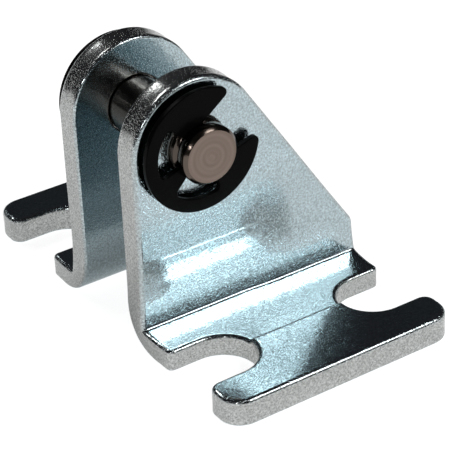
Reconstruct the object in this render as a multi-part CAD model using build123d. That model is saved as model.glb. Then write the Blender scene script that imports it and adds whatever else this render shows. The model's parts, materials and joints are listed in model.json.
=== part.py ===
from build123d import *
import os
from math import acos, atan2, cos, degrees, hypot, radians, sin, sqrt, tan

# Clevis pivot bracket: two mirror-image foot brackets bent from steel sheet, a cross pin through their
# ears and an E-clip in a groove at each end of the pin.
# Millimetres. X runs across the brackets, Y along the pin and Z up. The origin is on the floor, midway
# between the brackets and midway across their width. Each paired piece is modelled on the +Y side.

# ---- driving dimensions -------------------------------------------------------------------------------

# sheet and plate
SHEET = 3.05             # thickness of the steel sheet
WIDTH = 26.6             # a bracket from side edge to side edge
CLEVIS_GAP = 8.4         # free gap between the two ears
PIN_HEIGHT = 21.7        # pin axis above the floor
EAR_RADIUS = 7.45        # full round of the ear about the pin
FLANK_HEIGHT = 6.3       # where the sloping flank meets the short upright edge
FLANK_RADIUS = 1.6       # rounding of that corner

# bend between plate and foot
BEND_INNER_RADIUS = 0.5  # struck nearly sharp
BEND_OUTER_RADIUS = 5.0  # drawn round by the bend
BULGE = 0.3              # how far the squeezed bend stands out of the side edges
BULGE_FADE = 2.6         # length along plate and foot over which that swelling dies away

# foot
COIN_DEPTH = 0.4         # how much thinner the strip beside the bend is pressed
COIN_REACH = 8.1         # from the plate's outer face to the step at the strip's end
COIN_STEP_RADIUS = 0.3   # both small radii of that step
NOTCH_RADIUS = 3.75      # half the width of a screw notch
NOTCH_DEPTH = 7.55       # from the side edge to the bottom of a notch
NOTCH_OFFSET = 8.4       # from the plate's outer face to the notches' centre line
STRIP_CORNER_RADIUS = 0.7   # corners between the strip's side edges and the notches
BAR_DEPTH = 4.65            # the outer bar, from the notches to the tip of the foot
BAR_SPREAD = 0.45           # how far each end of the bar stands out past the side edges
BAR_INNER_RADIUS = 1.3      # its corners beside the notches
BAR_OUTER_RADIUS = 2.5      # its corners at the tip

# edges of the pressed sheet
ROLLOVER_RADIUS = 0.4    # outline of the outer face, drawn down by the punch
BURR_EDGE_RADIUS = 0.3   # outline of the face towards the gap and the floor
BORE_EDGE_RADIUS = 0.2   # both ends of the pin's hole

# pin
PIN_DIAMETER = 6.35
PIN_CHAMFER = 0.38
PIN_TAIL = 1.5           # from the outer wall of a groove to the pin's end
GROOVE_DIAMETER = 5.33
BORE_CLEARANCE = 0.06    # radial, between the pin and an ear
END_PLAY = 0.6           # between an ear and its clip

# E-clip
CLIP_DIAMETER = 13.4
CLIP_THICKNESS = 0.64
CLIP_RING_WIDTH = 1.45   # radial width of the ring between its prongs
CLIP_MOUTH = 4.8         # opening between the tips of the side prongs
CLIP_MOUTH_FLARE = 3.0   # degrees by which each side of the mouth opens outwards
CLIP_PRONG_SPREAD = 103.0   # degrees from the mouth's middle to the back of a side prong
CLIP_TONGUE_TIP = 1.3    # width of the middle prong at the groove
CLIP_TONGUE_ROOT = 2.6   # width of the middle prong at the ring
CLIP_CORNER_RADIUS = 0.6 # corners of the arms and roots of the prongs
CLIP_TIP_RADIUS = 0.2    # corners of the prong tips
CLIP_EDGE_RADIUS = 0.12  # all edges of both faces
CLIP_TIP_CLEARANCE = 0.03   # radial, between the prong tips and the groove
CLIP_SIDE_CLEARANCE = 0.05  # between a face of the clip and the groove's wall
CLIP_TURN = 34.0         # degrees from +X towards +Z, where the mouth faces

# ---- places that follow from them ---------------------------------------------------------------------

HALF_WIDTH = WIDTH / 2
BAR_HALF_WIDTH = HALF_WIDTH + BAR_SPREAD
PIN_X = EAR_RADIUS - HALF_WIDTH
EAR_TOP = PIN_HEIGHT + EAR_RADIUS
PLATE_IN = CLEVIS_GAP / 2
PLATE_OUT = PLATE_IN + SHEET
STRIP_TOP = SHEET - COIN_DEPTH
STEP_Y = PLATE_OUT + COIN_REACH
NOTCH_X = HALF_WIDTH - NOTCH_DEPTH + NOTCH_RADIUS
NOTCH_Y = PLATE_OUT + NOTCH_OFFSET
FOOT_TIP = NOTCH_Y + NOTCH_RADIUS + BAR_DEPTH
PIN_RADIUS = PIN_DIAMETER / 2
GROOVE_RADIUS = GROOVE_DIAMETER / 2
CLIP_IN = PLATE_OUT + END_PLAY
CLIP_OUT = CLIP_IN + CLIP_THICKNESS
GROOVE_IN = CLIP_IN - CLIP_SIDE_CLEARANCE
GROOVE_OUT = CLIP_OUT + CLIP_SIDE_CLEARANCE
PIN_END = GROOVE_OUT + PIN_TAIL
BULGE_X = HALF_WIDTH + BULGE
BEYOND = 1.0             # how far a cutting shape reaches past what it cuts


def bend_section():
    """The sheet seen from the side: plate, bend, coined strip, step and foot, as one L."""
    run = sqrt(4 * COIN_STEP_RADIUS * COIN_DEPTH - COIN_DEPTH**2) / 2
    step_foot = (STEP_Y - run, STRIP_TOP)
    step_middle = (STEP_Y, STRIP_TOP + COIN_DEPTH / 2)
    step_head = (STEP_Y + run, SHEET)
    top = EAR_TOP + BEYOND
    underside = FilletPolyline(
        step_head, (FOOT_TIP, SHEET), (FOOT_TIP, 0), (PLATE_IN, 0), (PLATE_IN, top),
        radius=(0, 0, BEND_OUTER_RADIUS),
    )
    outer_face = FilletPolyline(
        (PLATE_IN, top), (PLATE_OUT, top), (PLATE_OUT, STRIP_TOP), step_foot,
        radius=(0, BEND_INNER_RADIUS),
    )
    rise = TangentArc(step_foot, step_middle, tangent=(1, 0))
    fall = TangentArc(step_head, step_middle, tangent=(-1, 0))
    return make_face(Curve() + [underside, outer_face, rise, fall])


def plate_outline():
    """The upright plate seen along the pin: round ear, flank at a tangent, short upright edge."""
    across, down = HALF_WIDTH - PIN_X, FLANK_HEIGHT - PIN_HEIGHT
    touch = atan2(down, across) + acos(EAR_RADIUS / hypot(across, down))
    flank_top = (PIN_X + EAR_RADIUS * cos(touch), PIN_HEIGHT + EAR_RADIUS * sin(touch))
    ear = CenterArc((PIN_X, PIN_HEIGHT), EAR_RADIUS, degrees(touch), 180 - degrees(touch))
    fade_top = SHEET + BULGE_FADE
    upright = FilletPolyline(
        (HALF_WIDTH, fade_top), (HALF_WIDTH, FLANK_HEIGHT), flank_top, radius=FLANK_RADIUS
    )
    fade = Spline((BULGE_X, SHEET), (HALF_WIDTH, fade_top), tangents=((0, 1), (0, 1)))
    base = Polyline((-BULGE_X, SHEET), (-BULGE_X, 0), (BULGE_X, 0), (BULGE_X, SHEET))
    straight = Line((-HALF_WIDTH, fade_top), (-HALF_WIDTH, PIN_HEIGHT))
    return make_face(Curve() + [ear, upright, fade, base, mirror(fade, about=Plane.YZ), straight])


def foot_outline():
    """The foot seen from above: full width, with a screw notch open to each side."""
    near, far = NOTCH_Y - NOTCH_RADIUS, NOTCH_Y + NOTCH_RADIUS
    fade_end = PLATE_OUT + BULGE_FADE
    bend = Polyline((0, PLATE_IN), (BULGE_X, PLATE_IN), (BULGE_X, PLATE_OUT))
    fade = Spline((BULGE_X, PLATE_OUT), (HALF_WIDTH, fade_end), tangents=((0, 1), (0, 1)))
    strip = FilletPolyline(
        (HALF_WIDTH, fade_end), (HALF_WIDTH, near), (NOTCH_X, near), radius=STRIP_CORNER_RADIUS
    )
    notch = CenterArc((NOTCH_X, NOTCH_Y), NOTCH_RADIUS, 90, 180)
    bar = FilletPolyline(
        (NOTCH_X, far), (BAR_HALF_WIDTH, far), (BAR_HALF_WIDTH, FOOT_TIP), (0, FOOT_TIP),
        radius=(BAR_INNER_RADIUS, BAR_OUTER_RADIUS),
    )
    right = Curve() + [bend, fade, strip, notch, bar]
    return make_face(right + mirror(right, about=Plane.YZ))


def foot_bracket():
    """One bracket: the bent sheet within both outlines, its edges rounded and its ear bored."""
    bent = extrude(Plane.YZ * bend_section(), BAR_HALF_WIDTH + BEYOND, both=True)
    upright = extrude(Plane.XZ * plate_outline(), -FOOT_TIP)
    upright += Pos(0, FOOT_TIP, 0) * Box(2 * BAR_HALF_WIDTH + BEYOND, 2 * (FOOT_TIP - PLATE_OUT), 2 * SHEET)
    sheet = bent & upright & extrude(foot_outline(), EAR_TOP + BEYOND)
    tip_edges = sheet.edges().filter_by(Axis.X).group_by(Axis.Y)[-1].sort_by(Axis.Z)
    sheet = fillet(tip_edges[-1], ROLLOVER_RADIUS)
    tip_edges = sheet.edges().filter_by(Axis.X).group_by(Axis.Y)[-1].sort_by(Axis.Z)
    sheet = fillet(tip_edges[0], BURR_EDGE_RADIUS)
    hole = Cylinder(PIN_RADIUS + BORE_CLEARANCE, SHEET + 2 * BEYOND, rotation=(90, 0, 0))
    sheet -= Pos(PIN_X, PLATE_IN + SHEET / 2, PIN_HEIGHT) * hole
    rims = sheet.edges().filter_by(GeomType.CIRCLE)
    rims = rims.filter_by(lambda e: abs(e.radius - PIN_RADIUS - BORE_CLEARANCE) < 1e-6)
    return fillet(rims, BORE_EDGE_RADIUS)


def pivot_pin():
    """The turned pin: one profile with a groove and a chamfer at each end, revolved about its axis."""
    half = [
        (PIN_RADIUS, GROOVE_IN),
        (GROOVE_RADIUS, GROOVE_IN),
        (GROOVE_RADIUS, GROOVE_OUT),
        (PIN_RADIUS, GROOVE_OUT),
        (PIN_RADIUS, PIN_END - PIN_CHAMFER),
        (PIN_RADIUS - PIN_CHAMFER, PIN_END),
        (0, PIN_END),
    ]
    other_half = [(r, -y) for r, y in reversed(half)]
    profile = make_face(Polyline(*other_half, *half, close=True))
    return Pos(PIN_X, 0, PIN_HEIGHT) * revolve(profile, Axis.Y)


def e_clip_outline():
    """The clip seen along the pin, mouth towards +X: a ring with two side prongs and a tongue."""
    outer, inner = CLIP_DIAMETER / 2, CLIP_DIAMETER / 2 - CLIP_RING_WIDTH
    seat = GROOVE_RADIUS + CLIP_TIP_CLEARANCE
    far = outer + BEYOND
    mouth_half, tongue_half = CLIP_MOUTH / 2, CLIP_TONGUE_TIP / 2
    flare = tan(radians(CLIP_MOUTH_FLARE))
    taper = (CLIP_TONGUE_ROOT - CLIP_TONGUE_TIP) / 2 / (inner - seat)
    spread = radians(CLIP_PRONG_SPREAD)
    mouth_far = mouth_half + flare * far
    mouth = [(0, mouth_half), (far, mouth_far), (far, -mouth_far), (0, -mouth_half)]
    window = [
        (-seat / 2, tongue_half - taper * seat / 2),
        (-far, tongue_half + taper * (far - seat)),
        (-far, far),
        (far * cos(spread), far * sin(spread)),
        (seat / 2 * cos(spread), seat / 2 * sin(spread)),
    ]
    upper = make_face(Polyline(*window, close=True)) & Circle(inner)
    outline = Circle(outer) - Circle(seat) - make_face(Polyline(*mouth, close=True))
    outline -= upper + mirror(upper, about=Plane.XZ)

    def corners(radius):
        at_radius = lambda v: abs(hypot(v.X, v.Y) - radius) < 1e-4
        return outline.vertices().filter_by(at_radius)

    outline = fillet(corners(outer) + corners(inner), CLIP_CORNER_RADIUS)
    return fillet(corners(seat), CLIP_TIP_RADIUS)


def e_clip():
    """The clip pressed from sheet, seated in the groove."""
    across_pin = Plane(origin=(PIN_X, CLIP_OUT, PIN_HEIGHT), x_dir=(1, 0, 0), z_dir=(0, -1, 0))
    clip = extrude(across_pin * Rotation(0, 0, CLIP_TURN) * e_clip_outline(), CLIP_THICKNESS)
    faces = clip.faces().filter_by(Axis.Y)
    return fillet(faces.edges(), CLIP_EDGE_RADIUS)


def main():
    rear_bracket = foot_bracket()
    rear_clip = e_clip()
    nodes = {
        "bracket_front": mirror(rear_bracket, about=Plane.XZ),
        "bracket_rear": rear_bracket,
        "pivot_pin": pivot_pin(),
        "e_clip_front": mirror(rear_clip, about=Plane.XZ),
        "e_clip_rear": rear_clip,
    }
    os.makedirs("parts", exist_ok=True)
    for name, shape in nodes.items():
        export_step(shape, f"parts/{name}.step")
        print(name, round(shape.volume, 1), "mm3")


main()
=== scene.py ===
# %% [markdown]
# # A clevis pivot bracket
# Two feet bent from zinc-plated sheet hold a blackened pin between their ears, and an E-clip in
# a groove at each end keeps the pin in. A cylinder's or rod's tang swings on the pin between
# the ears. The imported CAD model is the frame: it says where every piece is and how it moves.
# This script dresses it with finer surfaces and with finishes, and sets a small studio around
# it.

# %% The frame
import json

import bmesh
import bpy
import numpy as np
from mathutils import Matrix, Vector
from mathutils.geometry import delaunay_2d_cdt

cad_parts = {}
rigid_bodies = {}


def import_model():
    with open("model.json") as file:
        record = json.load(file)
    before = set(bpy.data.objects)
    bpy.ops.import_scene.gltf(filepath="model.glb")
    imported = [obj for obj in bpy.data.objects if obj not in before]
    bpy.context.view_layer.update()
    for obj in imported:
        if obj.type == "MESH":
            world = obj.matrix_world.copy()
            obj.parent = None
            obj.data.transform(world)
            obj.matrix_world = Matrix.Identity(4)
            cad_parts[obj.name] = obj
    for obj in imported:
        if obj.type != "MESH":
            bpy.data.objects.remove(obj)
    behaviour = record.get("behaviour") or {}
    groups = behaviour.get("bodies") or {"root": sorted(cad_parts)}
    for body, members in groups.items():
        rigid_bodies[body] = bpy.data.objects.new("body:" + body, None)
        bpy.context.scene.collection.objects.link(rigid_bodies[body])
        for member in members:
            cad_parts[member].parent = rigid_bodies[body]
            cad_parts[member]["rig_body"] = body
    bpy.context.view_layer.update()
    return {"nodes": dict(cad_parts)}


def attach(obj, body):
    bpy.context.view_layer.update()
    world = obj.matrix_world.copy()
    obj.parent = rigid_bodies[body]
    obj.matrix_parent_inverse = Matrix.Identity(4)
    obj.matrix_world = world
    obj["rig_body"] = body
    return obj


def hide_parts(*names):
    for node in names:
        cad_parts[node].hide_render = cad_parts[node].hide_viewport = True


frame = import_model()
print("pieces of the frame:", sorted(frame["nodes"]))

# %% [markdown]
# ## Meshes from arrays
# Each surface below is worked out with numpy as one array of points in millimetres and one
# array of faces. Blender works in metres, so the one helper that makes an object also does the
# scaling. It can store numbers on the points too, such as "this point is on a wall", which a
# finish reads later.

# %% A mesh helper
MM = 0.001


def add_mesh(name, points, faces, **attributes):
    """A smooth mesh from points in millimetres and a list of faces, with numbers on its points."""
    mesh = bpy.data.meshes.new(name)
    mesh.from_pydata((points * MM).tolist(), [], faces)
    for key, values in attributes.items():
        layer = mesh.attributes.new(key, "FLOAT", "POINT")
        layer.data.foreach_set("value", values.astype(np.float32))
    mesh.polygons.foreach_set("use_smooth", np.ones(len(faces), bool))
    made = bpy.data.objects.new(name, mesh)
    bpy.context.scene.collection.objects.link(made)
    print(f"{name}: {len(points)} points, {len(faces)} faces")
    return made


# %% [markdown]
# ## Finishes from nodes
# A finish is a short node tree that ends in one shader. `node` makes a node and sets its
# sockets: `__` in a name stands for a space, and a leading `_` means a property of the node
# itself. `blend` mixes two colours by a number, and `material` makes an empty tree and lets a
# function fill it.

# %% Node helpers
def node(tree, kind, **values):
    """One node with its sockets and properties set."""
    made = tree.nodes.new(kind)
    for key, value in values.items():
        if key.startswith("_"):
            setattr(made, key[1:], value)
        else:
            made.inputs[key.replace("__", " ")].default_value = value
    return made


def blend(tree, factor, low, high):
    """A colour between two: low * (1 - factor) + high * factor. Each is a colour or a socket."""
    made = node(tree, "ShaderNodeMix", _data_type="RGBA")
    share, low_socket, high_socket = made.inputs[0], made.inputs[6], made.inputs[7]
    tree.links.new(factor, share)
    for socket, value in ((low_socket, low), (high_socket, high)):
        if isinstance(value, tuple):
            socket.default_value = value
        else:
            tree.links.new(value, socket)
    return made.outputs[2]


def material(name, build):
    """A material whose node tree is filled by build(tree, link, out)."""
    made = bpy.data.materials.new(name)
    made.use_nodes = True
    tree = made.node_tree
    tree.nodes.clear()
    out = tree.nodes.new("ShaderNodeOutputMaterial")
    build(tree, tree.links.new, out)
    print(f"{name}: {len(tree.nodes)} nodes")
    return made


# %% [markdown]
# ## The sheet of a bracket
# A press cuts a flat blank with notches and a round ear, thins a strip across it and bends it
# there. Extruding an outline would give one sharp edge all round, but a punch draws the edge of
# one face down into a soft rounding and leaves the other crisper, and a struck bend is never
# quite straight. So the sheet is worked out as it is made: a flat blank first, then a map that
# bends it. All the sizes are those of the rear bracket, in the frame's own axes: X across, Y
# along the pin and Z up.

# %% Sizes of the bracket
PIN_X, PIN_Z = -5.85, 21.7  # the pin's axis
EAR = 7.445  # radius of the ear
HALF, BAR_HALF = 13.3, 13.75  # half widths of the sheet and of the foot's outer bar
PLATE_IN, PLATE_OUT = 4.2, 7.25  # the plate's two faces
SHEET, STRIP = 3.05, 2.65  # thickness of the sheet and of the pressed strip
BEND = 5.0  # outer radius of the bend
BEND_Y = PLATE_IN + BEND  # where the foot is flat underneath
STEP_Y, TIP_Y = 15.35, 24.05  # end of the pressed strip, tip of the foot
NEAR_Y, FAR_Y = 11.9, 19.4  # both sides of the screw notches
NOTCH, NOTCH_DEPTH = 3.75, 7.55  # half width of a notch, and its depth from the sheet's edge
FLANK_Z, TOP_Z = 6.3, PIN_Z + EAR  # foot of the sloping flank, top of the ear
BORE = 3.235  # radius of the pin's hole
print(f"bracket: {2 * BAR_HALF} mm wide, {TOP_Z} mm high, foot {TIP_Y - PLATE_OUT:.2f} mm long")

# %% [markdown]
# ## The dishing left by the press
# The blow that forms the crease leaves the plate and the strip beside it slightly dished. It is
# 0.2 mm at most, too little to see as a shape, but bright plating is a mirror, so it bends
# every reflection and gives the bands of light beside the bend. What the eye reads is the lean
# of the surface, so the lean is what is written down, in degrees at some distances, and the
# depth is summed up from it. The blow is uneven: the left part of the plate leans otherwise
# than the right.

# %% Leans and depths
LEAN_LEFT = [
    (2.6, -4), (3.2, -3.2), (4.2, -1.3), (6.3, -0.8), (7.1, 0), (7.7, 3.6), (9.0, 3.6), (9.5, 1),
    (10.15, 1), (10.2, 6), (10.4, 6), (10.5, 0),
]
LEAN_RIGHT = [
    (2.6, -3.2), (4.0, -2.8), (7.0, -2.0), (9.0, -1.7), (10.5, -1.2), (12.0, 0), (13.0, 1.6),
    (17.0, 1.6), (18.0, 0),
]
LEAN_STRIP = [(7.2, 3.6), (9.3, 3.6), (9.9, 0), (10.8, -2.4), (13.0, -2.4), (15.0, -0.8)]


def relief(table, reach):
    """Depth against distance for a face whose lean in degrees is given at some distances: the
    tangents of the leans, summed up from the far end of the reach back to each distance."""
    distance = np.linspace(*reach, 900)
    lean = np.tan(np.radians(np.interp(distance, *np.transpose(table))))
    depth = np.cumsum(lean[::-1])[::-1] * (distance[1] - distance[0])
    return distance, depth


plate_left, plate_right = relief(LEAN_LEFT, (2.0, 19.0)), relief(LEAN_RIGHT, (2.0, 19.0))
strip_fall = relief(LEAN_STRIP, (7.0, 16.0))
for place, (_, depth) in (("left", plate_left), ("right", plate_right), ("strip", strip_fall)):
    print(f"dishing, {place}: {depth.min():.2f} to {depth.max():.2f} mm")

# %% [markdown]
# ## From the flat sheet to the bent one
# A flat point is (u, s): u runs across the sheet and s along it, negative on the foot, 0 to 5
# in the bend and growing up the plate. Each face of the sheet has its own path. The struck face
# runs along the strip, turns up sharply at the crease and climbs the plate, and the other face
# goes round a quarter circle. A point inside the sheet lies on the straight line between the
# two. The ends of a bend are squeezed outwards, so the last few millimetres swell past the
# sheet's side edges.

# %% Two smooth paths
def ease(low, high, value):
    """0 below low, 1 above high, and a smooth 3t^2 - 2t^3 between them."""
    t = np.clip((value - low) / (high - low), 0, 1)
    return t * t * (3 - 2 * t)


def crease_path(t, radius=0.3):
    """The struck side of the bend: along the strip, round the crease and up the plate.
    Lengths: flat, quarter arc, upright; t runs from 0 to 1 over the whole of it."""
    flat, arc, rise = BEND_Y - PLATE_OUT - radius, np.pi / 2 * radius, BEND - STRIP - radius
    run = t * (flat + arc + rise)
    turn = np.clip((run - flat) / radius, 0, np.pi / 2)
    y = BEND_Y - np.minimum(run, flat) - radius * np.sin(turn)
    z = STRIP + radius * (1 - np.cos(turn)) + np.maximum(run - flat - arc, 0)
    return y, z


print("the crease runs from", *np.round(crease_path(0.0), 2), "to", *np.round(crease_path(1.0), 2))

# %% The two faces of the sheet
STEP_HALF = 0.28  # half the length of the rounded step at the strip's end
LEFT_TO_RIGHT = -1.5, 3.0  # over these u the left part's dishing gives way to the right part's
STRIP_FADE_Z, PLATE_FADE_Y = (2.8, 4.0), (7.5, 9.0)  # where either dishing ends at the crease


def struck_face(u, s):
    """Places on the struck face: the crease's path, with a smooth step up from the strip to the
    foot's full thickness, less the dishing of the plate, plus that of the strip."""
    crease_y, crease_z = crease_path(np.clip(s / BEND, 0, 1))
    y = np.where(s < 0, BEND_Y - s, crease_y)
    step = (SHEET - STRIP) * ease(STEP_Y - STEP_HALF, STEP_Y + STEP_HALF, BEND_Y - s)
    z = np.where(s < 0, STRIP + step, crease_z) + np.maximum(s - BEND, 0)
    to_right = ease(*LEFT_TO_RIGHT, u)
    hollow = np.interp(z, *plate_left) * (1 - to_right) + np.interp(z, *plate_right) * to_right
    heap = np.interp(y, *strip_fall) * (1 - ease(*STRIP_FADE_Z, z))
    return y - hollow * (1 - ease(*PLATE_FADE_Y, y)), z + heap


def back_face(s):
    """Places on the other face: flat, a quarter circle of radius BEND, then upright."""
    turn = np.pi / 2 * np.clip(s / BEND, 0, 1)
    y = BEND_Y - BEND * np.sin(turn) - np.minimum(s, 0)
    z = BEND - BEND * np.cos(turn) + np.maximum(s - BEND, 0)
    return y, z


foot_y, foot_z = struck_face(np.array(0.0), np.array(BEND_Y - TIP_Y))
print(f"the foot's tip is {foot_y:.2f} mm out and {foot_z:.2f} mm up")

# %% The bend
SWELL, SWELL_S, SWELL_REACH = 0.3, 2.4, 3.0  # height, middle and length of the squeezed ends
SWELL_FROM, SWELL_WIDTH = 7.0, 6.0  # where across the sheet it begins, and over what width it grows
EVEN_SHARE = 0.4  # the part of it that is the same at all depths


def bent(u, s, depth):
    """Places of the flat points (u, s) at a depth from 0 on the struck face to 1 on the other one:
    a straight line between the faces, moved sideways by the swelling. The swelling is a bell curve
    along s, grows as a square towards the side edges and is fullest in the middle of the sheet."""
    face_y, face_z = struck_face(u, s)
    back_y, back_z = back_face(s)
    bell = SWELL * np.exp(-(((s - SWELL_S) / SWELL_REACH) ** 2))
    swell = bell * np.clip((np.abs(u) - SWELL_FROM) / SWELL_WIDTH, 0, 1) ** 2
    fullness = EVEN_SHARE + (1 - EVEN_SHARE) * np.sin(np.pi * np.clip(depth, 0, 1))
    x = u + np.sign(u) * swell * fullness
    return np.stack([x, face_y + (back_y - face_y) * depth, face_z + (back_z - face_z) * depth], -1)


swollen = bent(np.array(HALF), np.array(SWELL_S), np.array(0.5))
print(f"the side edge stands {HALF} mm from the middle, and {swollen[0]:.2f} mm in the bend")

# %% [markdown]
# ## The outline of the blank
# Thirteen corners and thirteen radii give the whole outline: the ear is one big radius on two
# of them, and each notch is two corners whose arcs meet in a half circle. The sloping flank
# touches the ear, so its angle comes from the tangent of the ear's circle through the flank's
# foot.

# %% The flat outline
def rounded_loop(corners, radii, arc_points=40):
    """A closed outline: each corner is replaced by an arc tangent to both of its sides. The arc's
    centre lies on the corner's bisector at radius / sin(half angle)."""
    loop = []
    for before, corner, after, radius in zip(
        np.roll(corners, 1, 0), corners, np.roll(corners, -1, 0), radii
    ):
        back = (before - corner) / np.linalg.norm(before - corner)
        ahead = (after - corner) / np.linalg.norm(after - corner)
        half = np.arccos(back @ ahead) / 2
        bisector = (back + ahead) / np.linalg.norm(back + ahead)
        centre = corner + bisector * radius / np.sin(half)
        first = corner + back * radius / np.tan(half) - centre
        last = corner + ahead * radius / np.tan(half) - centre
        turn = np.linspace(0, 1, arc_points)[:, None]
        sweep = np.pi - 2 * half
        spoke = (first * np.sin((1 - turn) * sweep) + last * np.sin(turn * sweep)) / np.sin(sweep)
        loop.append(centre + spoke)
    return np.concatenate(loop)


# %% Corners and radii
STRIP_ROUND, FLANK_ROUND = 0.7, 1.6
BAR_IN_ROUND, BAR_OUT_ROUND = 1.3, 2.5
NOTCH_ROUND = NOTCH - 1e-4  # a hair less than half, so that a notch's two arcs share no point
off_x, off_z = HALF - PIN_X, FLANK_Z - PIN_Z
touch = np.arctan2(off_z, off_x) + np.arccos(EAR / np.hypot(off_x, off_z))
flank_top_x = PIN_X + (EAR - EAR * np.sin(touch)) / np.cos(touch)
near, far, tip = BEND_Y - NEAR_Y, BEND_Y - FAR_Y, BEND_Y - TIP_Y
inner = HALF - NOTCH_DEPTH
corners = np.array([
    (-HALF, TOP_Z), (-HALF, near), (-inner, near), (-inner, far), (-BAR_HALF, far),
    (-BAR_HALF, tip), (BAR_HALF, tip), (BAR_HALF, far), (inner, far), (inner, near),
    (HALF, near), (HALF, FLANK_Z), (flank_top_x, TOP_Z),
])
notch_and_bar = [NOTCH_ROUND, NOTCH_ROUND, BAR_IN_ROUND, BAR_OUT_ROUND]
radii = [EAR, STRIP_ROUND, *notch_and_bar, *notch_and_bar[::-1], STRIP_ROUND, FLANK_ROUND, EAR]
outline = rounded_loop(corners, radii)
print(f"outline: {len(outline)} points, the flank leans {np.degrees(touch):.1f} degrees")

# %% [markdown]
# ## Points where they are needed
# The crease, the pressed step and the fine ridge above the crease need points much closer
# together than the rest of the sheet. Instead of making two sizes of mesh, the length along the
# sheet is stretched at those places, and all the points are then spread evenly in the stretched
# lengths.

# %% Stretched lengths along the sheet
# where along the sheet, over what width, how many more points: crease, step, plate, ridge
STRETCHES = [(2.35, 0.4, 6.0), (BEND_Y - STEP_Y, 0.3, 5.0), (6.5, 3.0, 1.0), (10.3, 0.3, 3.0)]
station = np.linspace(tip - 1, TOP_Z + 1, 8000)
stretch = 1 + sum(
    extra * np.exp(-(((station - at) / width) ** 2)) for at, width, extra in STRETCHES
)
stretched = np.cumsum(stretch) * (station[1] - station[0])
print(f"the sheet is {station[-1] - station[0]:.1f} mm long and {stretched[-1]:.1f} mm stretched")


def widen(points):
    """Flat points with their second coordinate in stretched lengths."""
    return np.stack([points[:, 0], np.interp(points[:, 1], station, stretched)], 1)


def evenly(loop, spacing):
    """The closed loop again, with points at an even spacing in the stretched lengths."""
    closed = np.concatenate([loop, loop[:1]])
    steps = np.linalg.norm(np.diff(widen(closed), axis=0), axis=1)
    run = np.concatenate([[0], np.cumsum(steps)])
    at = np.linspace(0, run[-1], int(run[-1] / spacing), endpoint=False)
    return np.stack([np.interp(at, run, closed[:, 0]), np.interp(at, run, closed[:, 1])], 1)


# %% [markdown]
# ## The wall round an outline
# The wall is a stack of copies of the outline. Each copy is moved inwards and down into the
# sheet along the rounding of an edge: wide on the struck face, where the punch drew the metal
# down, and narrower on the other. The bore has the same kind of wall with small even roundings.

# %% Edges and walls
LIP = 0.07  # the first row of a face lies this far beyond the rounding
STRUCK_EDGE, BACK_EDGE, BORE_EDGE = 0.5, 0.32, 0.2  # roundings
WALL_HOLLOW = 0.03  # how deep a cut wall is hollowed


def inward(loop):
    """Unit directions into the area of a loop that runs anticlockwise: its tangent turned left."""
    along = np.roll(loop, -1, 0) - np.roll(loop, 1, 0)
    along /= np.linalg.norm(along, axis=1)[:, None]
    return np.stack([-along[:, 1], along[:, 0]], 1)


def edge_profile(struck, back, hollow):
    """Rows (how far inwards, how deep, how much of it is wall): a quarter circle at the struck
    edge, a wall hollowed by a sine arc, a quarter circle at the back edge."""
    turn = np.linspace(0, np.pi / 2, 7)
    rise = np.linspace(0, 1, 7)[1:-1]
    share = turn / turn[-1]
    top = np.stack([struck * (1 - np.sin(turn)), struck * (1 - np.cos(turn)) / SHEET, share], 1)
    low = np.stack([back * (1 - np.cos(turn)), 1 - back * (1 - np.sin(turn)) / SHEET, 1 - share], 1)
    depth = top[-1, 1] + (low[0, 1] - top[-1, 1]) * rise
    wall = np.stack([hollow * np.sin(np.pi * rise), depth, np.ones_like(rise)], 1)
    first, last = (struck + LIP, 0, 0), (back + LIP, 1, 0)
    return np.concatenate([[first], top, wall, low, [last]])


def walls(loop, rows, inwards):
    """A loop's copies, one for each row of a profile: the loop moved inwards along its unit
    directions by the row's first number. Also each point's depth and share of wall."""
    lines = loop[None] + inwards * inward(loop)[None] * rows[:, 0, None, None]
    depth, share = np.repeat(rows[:, 1], len(loop)), np.repeat(rows[:, 2], len(loop))
    return lines.reshape(-1, 2), depth, share


def band(start, rows, count, flip):
    """Four-sided faces between neighbouring copies of a loop. Point i of copy k has the number
    start + k * count + i, and the last point of a copy is followed by its first."""
    k, i = np.meshgrid(np.arange(rows - 1), np.arange(count), indexing="ij")
    here, beside = start + k * count + i, start + k * count + (i + 1) % count
    quads = np.stack([here, beside, beside + count, here + count], -1).reshape(-1, 4)
    return quads[:, ::-1] if flip else quads


edge_rows = edge_profile(STRUCK_EDGE, BACK_EDGE, WALL_HOLLOW)
bore_rows = edge_profile(BORE_EDGE, BORE_EDGE, 0.0)
print(f"a wall has {len(edge_rows)} rows of points")

# %% [markdown]
# ## The two faces
# A face is filled with a grid of points that keeps clear of the outline and of the bore, and a
# Delaunay triangulation joins grid, outline and bore. It avoids thin triangles, which would
# make a mirror finish flicker. Both faces use the same triangles, once on each side of the
# sheet.

# %% Filling a face
SPACING, EDGE_SPACING = 0.42, 0.26
GRID_LEFT, GRID_RIGHT = -13.65, 13.7  # the first column, and where the columns stop
CLEAR_OF_EDGE, CLEAR_OF_BORE = 0.75, 0.45  # how far the grid keeps away from both


def inside(points, loop):
    """Which points lie inside a loop: a ray to the right crosses its sides an odd number of
    times."""
    a, b = loop, np.roll(loop, -1, 0)
    crosses = (a[:, 1] > points[:, None, 1]) != (b[:, 1] > points[:, None, 1])
    slope = (b[:, 0] - a[:, 0]) / np.where(b[:, 1] == a[:, 1], 1e-9, b[:, 1] - a[:, 1])
    right_of = points[:, None, 0] < a[:, 0] + slope * (points[:, None, 1] - a[:, 1])
    return (crosses & right_of).sum(1) % 2 == 1


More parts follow.
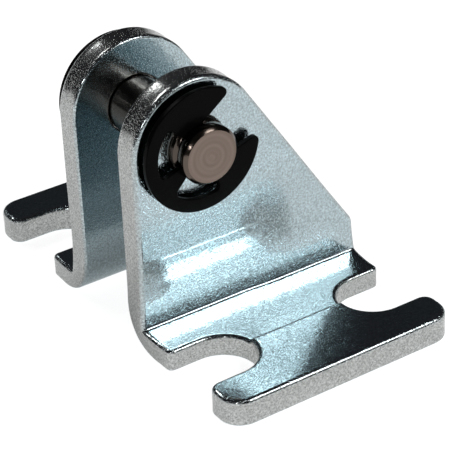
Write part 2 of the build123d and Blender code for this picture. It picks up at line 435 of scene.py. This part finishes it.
def face_grid(edge):
    """A grid, even in the stretched lengths, that keeps clear of the outline and of the bore."""
    columns = np.arange(GRID_LEFT, GRID_RIGHT, SPACING)
    rows = np.interp(np.arange(stretched[0], stretched[-1], SPACING), stretched, station)
    grid = np.stack(np.meshgrid(columns, rows), -1).reshape(-1, 2)
    grid = grid[inside(grid, edge)]
    away = np.sqrt(((grid[:, None] - edge) ** 2).sum(-1).min(1))
    from_pin = np.hypot(grid[:, 0] - PIN_X, grid[:, 1] - PIN_Z)
    return grid[(away > CLEAR_OF_EDGE) & (from_pin > BORE + CLEAR_OF_BORE)]


def ring(start, count):
    """The sides of a closed loop of points numbered from start."""
    return np.stack([np.arange(count), (np.arange(count) + 1) % count], 1) + start


def fill(edge, bore, grid):
    """Triangles over the outline's, the bore's and the grid's points, numbered in that order. Those
    with all three corners on the bore would cover the hole, so they are left out."""
    n, m = len(edge), len(bore)
    flat = np.concatenate([edge, bore, grid])
    rims = np.concatenate([ring(0, n), ring(n, m)]).tolist()
    places = [Vector(place) for place in widen(flat).tolist()]
    made = delaunay_2d_cdt(places, rims, [], 1, 1e-7)
    assert len(made[0]) == len(flat), "the triangulation added points"
    triangles = np.array(made[2])
    in_bore = ((triangles >= n) & (triangles < n + m)).all(1)
    return triangles[~in_bore]


edge = evenly(outline, EDGE_SPACING)
grid = face_grid(edge)
print(f"a face has {len(edge)} points on its outline and {len(grid)} in its grid")

# %% [markdown]
# ## The bracket as one closed skin
# Outline copies, bore copies and two grids are put in one array, bent together and joined by
# the triangles of the two faces and the bands of the two walls. Every edge then has exactly two
# faces, so the skin is closed. The front bracket is the mirror image: its Y changes sign and
# its faces turn over.

# %% The skin
def bracket_skin(side):
    """Points, faces and shares of wall of a bracket: side +1 is the rear one, -1 the front one."""
    turn = np.linspace(0, 2 * np.pi, 90, endpoint=False)
    bore = np.stack([PIN_X + BORE * np.cos(turn), PIN_Z + BORE * np.sin(turn)], 1)
    n, m, g, r = len(edge), len(bore), len(grid), len(edge_rows)
    edge_points, edge_depth, edge_wall = walls(edge, edge_rows, 1)
    bore_points, bore_depth, bore_wall = walls(bore, bore_rows, -1)
    flat = np.concatenate([edge_points, bore_points, grid, grid])
    depth = np.concatenate([edge_depth, bore_depth, np.zeros(g), np.ones(g)])
    wall = np.concatenate([edge_wall, bore_wall, np.zeros(2 * g)])
    points = bent(flat[:, 0], flat[:, 1], depth)

    triangles = fill(edge_points[:n], bore_points[:m], grid)
    low, grid_start = (r - 1) * n, r * (n + m)
    bore_low = r * n + (r - 1) * m
    struck = np.r_[0:n, r * n : r * n + m, grid_start : grid_start + g]
    back = np.r_[low : low + n, bore_low : bore_low + m, grid_start + g : grid_start + 2 * g]
    edge_band, bore_band = band(0, r, n, False), band(r * n, r, m, True)
    faces = [struck[triangles][:, ::-1], back[triangles], edge_band, bore_band]
    if side < 0:
        points = points * (1, -1, 1)
        faces = [f[:, ::-1] for f in faces]
    return points, [row for f in faces for row in f.tolist()], wall


brackets = []
for name, side in (("bracket_rear", 1), ("bracket_front", -1)):
    points, faces, wall = bracket_skin(side)
    made = add_mesh(name.replace("bracket", "plated_bracket"), points, faces, wall=wall)
    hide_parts(name)
    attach(made, frame["nodes"][name]["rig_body"])
    brackets.append(made)

# %% [markdown]
# ## Zinc plating
# Bright zinc is a bluish mirror, and a flat colour would look like paint. Three fine patterns
# break it up: spangle, patches a fifth of a millimetre wide that reflect a little more or less;
# pimples, small bumps that sparkle where they catch a lamp, strong on the cut edges and weak on
# the rolled faces; and a broad, shallow grain. The cut edges also have a greyer colour. All of
# them read the object's own coordinates, in metres, so a scale of 5000 means a feature of about
# a fifth of a millimetre.

# %% Zinc
ZINC = (0.490, 0.585, 0.615, 1)
CUT_EDGE = (0.52, 0.535, 0.525, 1)


def zinc(tree, link, out):
    """A metal whose colour and roughness go from face to wall, times spangle, with two bumps."""
    coord = node(tree, "ShaderNodeTexCoord")
    wall = node(tree, "ShaderNodeAttribute", _attribute_name="wall")
    sparkle = node(tree, "ShaderNodeTexNoise", Scale=6200.0, Detail=1.0, Roughness=0.6)
    grain = node(tree, "ShaderNodeTexNoise", Scale=1500.0, Detail=2.0)
    spangle = node(tree, "ShaderNodeTexNoise", Scale=4800.0, Detail=1.0)
    for texture in (sparkle, grain, spangle):
        link(coord.outputs["Object"], texture.inputs["Vector"])

    pimples = node(tree, "ShaderNodeMapRange", From__Min=0.56, From__Max=0.68)
    link(sparkle.outputs["Fac"], pimples.inputs["Value"])
    share = node(tree, "ShaderNodeMapRange", To__Min=0.22, To__Max=0.62)
    link(wall.outputs["Fac"], share.inputs["Value"])
    fine = node(tree, "ShaderNodeBump", Distance=0.00005)
    link(share.outputs["Result"], fine.inputs["Strength"])
    link(pimples.outputs["Result"], fine.inputs["Height"])
    broad = node(tree, "ShaderNodeBump", Strength=0.10, Distance=0.00015)
    link(grain.outputs["Fac"], broad.inputs["Height"])
    link(fine.outputs["Normal"], broad.inputs["Normal"])

    shades = node(
        tree, "ShaderNodeMapRange", From__Min=0.3, From__Max=0.7, To__Min=0.76, To__Max=1.20
    )
    link(spangle.outputs["Fac"], shades.inputs["Value"])
    colour = node(tree, "ShaderNodeVectorMath", _operation="SCALE")
    link(blend(tree, wall.outputs["Fac"], ZINC, CUT_EDGE), colour.inputs[0])
    link(shades.outputs["Result"], colour.inputs["Scale"])
    rough = node(tree, "ShaderNodeMapRange", To__Min=0.13, To__Max=0.17)
    link(wall.outputs["Fac"], rough.inputs["Value"])

    shade = node(tree, "ShaderNodeBsdfPrincipled", Metallic=1.0)
    link(colour.outputs["Vector"], shade.inputs["Base Color"])
    link(rough.outputs["Result"], shade.inputs["Roughness"])
    link(broad.outputs["Normal"], shade.inputs["Normal"])
    link(shade.outputs["BSDF"], out.inputs["Surface"])


zinc_plating = material("zinc plating", zinc)
for made in brackets:
    made.data.materials.append(zinc_plating)

# %% [markdown]
# ## The pin
# The pin is turned on a lathe, so it is made as one: half a profile, mirrored end for end and
# swept round the axis. From the middle of an end outwards the profile runs over the faced end,
# the chamfer, the short tail, the clip's groove and the shank. The facing tool leaves rings
# less than a hundredth of a millimetre high, and two waves of different lengths keep them from
# looking drawn with a compass.

# %% A lathe
def lathe(profile, steps):
    """Revolves rows (radius, along) about the pin's axis: x = r cos a, z = r sin a, y = along.
    The first and last rows lie on the axis and are shut with fans."""
    turn = np.linspace(0, 2 * np.pi, steps, endpoint=False)
    rows, count = profile[1:-1], len(profile) - 2
    x = PIN_X + rows[:, :1] * np.cos(turn)
    z = PIN_Z + rows[:, :1] * np.sin(turn)
    y = np.repeat(rows[:, 1:], steps, 1)
    caps = np.array([(PIN_X, profile[0, 1], PIN_Z), (PIN_X, profile[-1, 1], PIN_Z)])
    points = np.concatenate([np.stack([x, y, z], -1).reshape(-1, 3), caps])
    k, i = np.meshgrid(np.arange(count - 1), np.arange(steps), indexing="ij")
    here, beside = k * steps + i, k * steps + (i + 1) % steps
    quads = np.stack([here, here + steps, beside + steps, beside], -1).reshape(-1, 4)
    i, last = np.arange(steps), (count - 1) * steps
    j, cap = (i + 1) % steps, np.full(steps, count * steps)
    low, top = np.stack([i, j, cap], 1), np.stack([last + j, last + i, cap + 1], 1)
    return points, quads.tolist() + low.tolist() + top.tolist()


# %% The pin
R_PIN, R_GROOVE = 3.175, 2.665
GROOVE_NEAR, GROOVE_FAR, PIN_END = 7.80, 8.54, 10.04
CHAMFER, BROKEN = 0.38, 0.05  # the chamfer, and the small flat on each turned edge
R_FACE, CHAMFER_END = R_PIN - CHAMFER, PIN_END - CHAMFER
FACED = 0.008  # the faced end lies this far inside the pin's length, so no ring stands past it
RING_HEIGHT, RING_PITCHES = 0.0022, (0.31, 0.49)  # of the two waves
SIDES = 128  # points round the pin
face_r = np.linspace(0, R_FACE, 90)
fast, slow = (2 * np.pi * face_r / pitch for pitch in RING_PITCHES)
rings = RING_HEIGHT * (np.sin(fast) + np.sin(slow + 1)) * ease(0.1, 0.5, face_r)
face = np.stack([face_r, PIN_END - FACED + rings], 1)
shoulder = [
    (R_FACE + BROKEN, PIN_END - BROKEN), (R_PIN - BROKEN, CHAMFER_END + BROKEN),
    (R_PIN, CHAMFER_END - 0.02),
]
groove = [
    (R_PIN, GROOVE_FAR + BROKEN), (R_PIN - BROKEN, GROOVE_FAR), (R_GROOVE, GROOVE_FAR),
    (R_GROOVE, GROOVE_NEAR), (R_PIN - BROKEN, GROOVE_NEAR), (R_PIN, GROOVE_NEAR - BROKEN),
]
shank = [(R_PIN, 4.0), (R_PIN, 0.0)]
half_profile = np.concatenate([face, shoulder, groove, shank])
profile = np.concatenate([half_profile, half_profile[-2::-1] * (1, -1)])[::-1]
points, faces = lathe(profile, SIDES)
print(f"pin: {2 * PIN_END:.2f} mm long, rings {rings.max() - rings.min():.4f} mm from low to high")

# %% [markdown]
# Two numbers are stored on the pin's points for its finish. `bare` is 1 on the faced ends,
# where the tool has cut the blackening away, and less on the chamfer, where it is only worn.
# `cut` is the tool's mark: waves over the radius, shifted a little with the angle, so that the
# rings wander.

# %% Numbers on the pin's points
WORN = 0.3  # how bare the chamfer is
MARK_PITCHES = 0.57, 1.07  # of the tool's mark
radius = np.hypot(points[:, 0] - PIN_X, points[:, 2] - PIN_Z)
about = np.arctan2(points[:, 2] - PIN_Z, points[:, 0] - PIN_X)
on_end = np.abs(points[:, 1]) > CHAMFER_END + 0.02
bare = np.where(on_end, np.where(radius < R_FACE + 0.02, 1.0, WORN), 0.0)
narrow = np.sin(2 * np.pi * radius / MARK_PITCHES[0] + 0.8 * np.sin(2 * about))
wide = np.sin(2 * np.pi * radius / MARK_PITCHES[1] + np.sin(about + 1))
pin = add_mesh("turned_pin", points, faces, bare=bare, cut=0.5 * narrow + 0.5 * wide)
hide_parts("pivot_pin")
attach(pin, frame["nodes"]["pivot_pin"]["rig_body"])

# %% [markdown]
# ## Blackened steel
# The bar is blackened before its ends are faced, so the round is a dark mirror with a brown
# cast and the ends are bare metal that has browned a little in the hand. Both are the same
# smooth metal, so one finish does it: a dark colour and a ring-marked one, blended by `bare`.

# %% Pin steel
BLACKENED = (0.098, 0.081, 0.070, 1)
CUT_DARK, CUT_LIGHT = (0.195, 0.151, 0.126, 1), (0.237, 0.186, 0.157, 1)


def pin_steel(tree, link, out):
    """A smooth metal: blackened on the round, two browns by the tool's mark on the bare ends."""
    coord = node(tree, "ShaderNodeTexCoord")
    bare = node(tree, "ShaderNodeAttribute", _attribute_name="bare")
    cut = node(tree, "ShaderNodeAttribute", _attribute_name="cut")
    rub = node(tree, "ShaderNodeTexNoise", Scale=900.0, Detail=4.0, Roughness=0.7)
    link(coord.outputs["Object"], rub.inputs["Vector"])
    bump = node(tree, "ShaderNodeBump", Strength=0.25, Distance=0.00006)
    link(rub.outputs["Fac"], bump.inputs["Height"])
    depth = node(tree, "ShaderNodeMapRange", From__Min=-1.0, From__Max=1.0)
    link(cut.outputs["Fac"], depth.inputs["Value"])
    ringed = blend(tree, depth.outputs["Result"], CUT_DARK, CUT_LIGHT)
    shade = node(tree, "ShaderNodeBsdfPrincipled", Metallic=1.0, Roughness=0.15)
    link(blend(tree, bare.outputs["Fac"], BLACKENED, ringed), shade.inputs["Base Color"])
    link(bump.outputs["Normal"], shade.inputs["Normal"])
    link(shade.outputs["BSDF"], out.inputs["Surface"])


pin.data.materials.append(material("blackened pin steel", pin_steel))

# %% [markdown]
# ## The E-clips
# A clip is stamped from spring steel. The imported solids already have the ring, the prongs and
# their rounded corners, so nothing has to be drawn again. Pushing a clip on springs its lower
# prong open, so each piece here is a copy of the solid's mesh, joined into one skin and turned
# about the pin by an angle that grows from the prong's root to its tip. A small bevel stands
# for the tumbled edges.

# %% The clips
OPENED = np.radians(11.0)
PRONG_ROOT, PRONG_TIP, MOUTH = np.radians(-64), np.radians(0), np.radians(34)


def spring_open(x, z):
    """A point at angle a about the pin turns by -OPENED * ease(root, tip, a), with its radius kept.
    Only the lower prong moves, which lies between its root and the middle of the mouth."""
    radius, angle = np.hypot(x - PIN_X, z - PIN_Z), np.arctan2(z - PIN_Z, x - PIN_X)
    lower = (angle < MOUTH) & (angle > PRONG_ROOT)
    angle = angle - OPENED * ease(PRONG_ROOT, PRONG_TIP, angle) * lower
    return PIN_X + radius * np.cos(angle), PIN_Z + radius * np.sin(angle)


def sprung_clip(name):
    """A merged copy of a clip's mesh with its lower prong sprung open and its edges tumbled."""
    mesh = frame["nodes"][name].data.copy()
    skin = bmesh.new()
    skin.from_mesh(mesh)
    bmesh.ops.remove_doubles(skin, verts=skin.verts, dist=1e-7)
    skin.to_mesh(mesh)
    skin.free()
    places = np.empty(len(mesh.vertices) * 3, np.float32)
    mesh.vertices.foreach_get("co", places)
    x, y, z = places.reshape(-1, 3).T / MM
    x, z = spring_open(x, z)
    mesh.vertices.foreach_set("co", (np.stack([x, y, z], 1) * MM).astype(np.float32).ravel())
    mesh.polygons.foreach_set("use_smooth", np.ones(len(mesh.polygons), bool))
    mesh.update()
    made = bpy.data.objects.new(name.replace("e_clip", "sprung_clip"), mesh)
    bpy.context.scene.collection.objects.link(made)
    tumbled = made.modifiers.new("tumbled edges", "BEVEL")
    tumbled.width, tumbled.segments, tumbled.angle_limit = 0.07 * MM, 2, np.radians(50)
    made.modifiers.new("even faces", "WEIGHTED_NORMAL")
    print(f"{made.name}: {len(mesh.vertices)} points, opened by {np.degrees(OPENED):.0f} degrees")
    return made


# %% [markdown]
# ## Black oxide
# Spring steel is oiled and blackened. The film is no metal mirror but a thin dark skin, so it
# is a plain shader with almost no colour and a weak sheen, made uneven by a fine bump.

# %% The clips' finish
def black_oxide(tree, link, out):
    """Almost no colour, and a weak sheen over a fine bump."""
    coord = node(tree, "ShaderNodeTexCoord")
    scale = node(tree, "ShaderNodeTexNoise", Scale=1400.0, Detail=3.0)
    link(coord.outputs["Object"], scale.inputs["Vector"])
    bump = node(tree, "ShaderNodeBump", Strength=0.2, Distance=0.0001)
    link(scale.outputs["Fac"], bump.inputs["Height"])
    shade = node(
        tree, "ShaderNodeBsdfPrincipled",
        Base__Color=(0.003, 0.003, 0.003, 1), Roughness=0.3, Specular__IOR__Level=0.04,
    )
    link(bump.outputs["Normal"], shade.inputs["Normal"])
    link(shade.outputs["BSDF"], out.inputs["Surface"])


clip_finish = material("black oxide", black_oxide)
for name in ("e_clip_front", "e_clip_rear"):
    clip = sprung_clip(name)
    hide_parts(name)
    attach(clip, frame["nodes"][name]["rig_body"])
    clip.data.materials.clear()
    clip.data.materials.append(clip_finish)

# %% [markdown]
# ## The floor
# The bracket stands on white paper. The paper takes the lamps' light and the bracket's shadow
# as any matt surface, and on top of that it glows for the camera and for reflections only: that
# makes the background white, and gives the steel something bright to mirror, without any more
# light on the object. Between the two plates the real paper is in shade, so there its glow in
# reflections fades.

# %% Floor
CAMERA_GLOW, MIRROR_GLOW, SHADE_GLOW = 0.90, 0.60, 0.22
SHADE_FROM, SHADE_TO, SQUEEZE = 4.5, 14.0, 0.4


def paper(tree, link, out):
    """A matt white plus a glow: CAMERA_GLOW for camera rays, and for glossy rays from SHADE_GLOW at
    SHADE_FROM mm from the middle to MIRROR_GLOW at SHADE_TO mm, in lengths squeezed along X."""
    coord = node(tree, "ShaderNodeTexCoord")
    squeeze = node(tree, "ShaderNodeMapping", Scale=(SQUEEZE, 1.0, 1.0))
    link(coord.outputs["Object"], squeeze.inputs["Vector"])
    away = node(tree, "ShaderNodeVectorMath", _operation="LENGTH")
    link(squeeze.outputs["Vector"], away.inputs[0])
    shaded = node(
        tree, "ShaderNodeMapRange",
        From__Min=SHADE_FROM * MM, From__Max=SHADE_TO * MM, To__Min=SHADE_GLOW, To__Max=MIRROR_GLOW,
    )
    link(away.outputs["Value"], shaded.inputs["Value"])

    path = node(tree, "ShaderNodeLightPath")
    mirrored = node(tree, "ShaderNodeMath", _operation="MULTIPLY")
    link(path.outputs["Is Glossy Ray"], mirrored.inputs[0])
    link(shaded.outputs["Result"], mirrored.inputs[1])
    level = node(tree, "ShaderNodeMath", _operation="MULTIPLY_ADD")
    level.inputs[1].default_value = CAMERA_GLOW
    link(path.outputs["Is Camera Ray"], level.inputs[0])
    link(mirrored.outputs[0], level.inputs[2])

    matt = node(tree, "ShaderNodeBsdfDiffuse", Color=(0.8, 0.8, 0.8, 1))
    glow = node(tree, "ShaderNodeEmission", Color=(1, 1, 1, 1))
    link(level.outputs[0], glow.inputs["Strength"])
    both = node(tree, "ShaderNodeAddShader")
    link(matt.outputs[0], both.inputs[0])
    link(glow.outputs[0], both.inputs[1])
    link(both.outputs[0], out.inputs["Surface"])


FLOOR_HALF, FLOOR_Z = 1500.0, -0.02
corner = np.array([(-1, -1), (1, -1), (1, 1), (-1, 1)]) * FLOOR_HALF
floor = add_mesh("floor", np.column_stack([corner, np.full(4, FLOOR_Z)]), [(0, 1, 2, 3)])
floor.data.materials.append(material("white paper", paper))

# %% [markdown]
# ## The room
# The room is nearly black. Plated steel is a mirror, so all that it shows is what stands around
# it, and the dark parts of the foot are this room. A pale world would wash them out.

# %% World
ROOM = (0.02, 0.02, 0.022, 1)
world = bpy.data.worlds.new("room")
bpy.context.scene.world = world
world.use_nodes = True
world.node_tree.nodes["Background"].inputs["Color"].default_value = ROOM
print("room:", ROOM[:3])

# %% [markdown]
# ## The lamps
# Each lamp is a softbox, a glowing rectangle half a metre away that faces the object. Plate and
# foot meet at a right angle, so they throw a ray back the way it came, but for its turn along
# the crease: the bands beside the bend show the part of the room above the front right. That is
# where the key stands, with a hotter core in its upper part. Small softboxes put glints on the
# chamfer and the ears, and a strip behind keeps the rear edges from going black.

# %% Lamps
def softbox(name, direction, distance, width, height, watts):
    """A rectangular lamp at distance metres from the origin along a direction d, facing back to the
    origin. Its sides are: side = up x d, level with the floor, and d x side, pointing upwards."""
    d = np.array(direction, float)
    d /= np.linalg.norm(d)
    side = np.cross((0, 0, 1), d)
    side /= np.linalg.norm(side)
    lamp = bpy.data.lights.new(name, "AREA")
    lamp.shape = "RECTANGLE"
    lamp.size, lamp.size_y, lamp.energy = width, height, watts
    made = bpy.data.objects.new(name, lamp)
    place = np.eye(4)
    place[:3] = np.column_stack([side, np.cross(d, side), d, d * distance])
    made.matrix_world = Matrix(place.tolist())
    bpy.context.scene.collection.objects.link(made)
    print(f"{name}: {watts} W, {np.degrees(np.arcsin(d[2])):.0f} degrees up")


softbox("key", (0.42, -0.68, 0.63), 0.5, 0.28, 0.19, 0.26)
softbox("key core", (0.40, -0.66, 0.71), 0.49, 0.20, 0.06, 0.45)
softbox("top glint", (0.325, -0.563, 0.80), 0.5, 0.12, 0.05, 0.10)
softbox("left glint", (-0.66, -0.62, 0.40), 0.5, 0.05, 0.05, 0.16)
softbox("back strip", (-0.25, 0.72, 0.85), 0.5, 0.22, 0.05, 0.25)

# %% [markdown]
# ## The camera
# The camera stands in front, to the left and above. Its turn is built from three angles: yaw
# swings the view line from +Y towards +X, pitch tips it down, and roll turns the picture about
# it. A camera in Blender looks along its own -Z, so the matrix has right, up and the reverse of
# the view line.

# %% Camera
EYE = np.array([-97.081, -154.344, 116.730]) * MM
YAW, PITCH, ROLL = 0.5692, 0.5423, 0.0451  # radians
FOCAL_PX, PICTURE_PX, SENSOR = 1994.5, 450, 36.0
ahead = np.array([np.sin(YAW) * np.cos(PITCH), np.cos(YAW) * np.cos(PITCH), -np.sin(PITCH)])
level = np.array([np.cos(YAW), -np.sin(YAW), 0.0])
down = np.cross(ahead, level)
right = np.cos(ROLL) * level + np.sin(ROLL) * down
up = np.sin(ROLL) * level - np.cos(ROLL) * down
lens = bpy.data.cameras.new("camera")
lens.sensor_width, lens.lens = SENSOR, FOCAL_PX / PICTURE_PX * SENSOR
lens.clip_start = 0.01
camera = bpy.data.objects.new("camera", lens)
pose = np.eye(4)
pose[:3] = np.column_stack([right, up, -ahead, EYE])
camera.matrix_world = Matrix(pose.tolist())
bpy.context.scene.collection.objects.link(camera)
bpy.context.scene.camera = camera
bpy.context.scene.view_settings.view_transform = "Standard"
print(f"camera: {np.linalg.norm(EYE):.3f} m away, {lens.lens:.1f} mm lens")
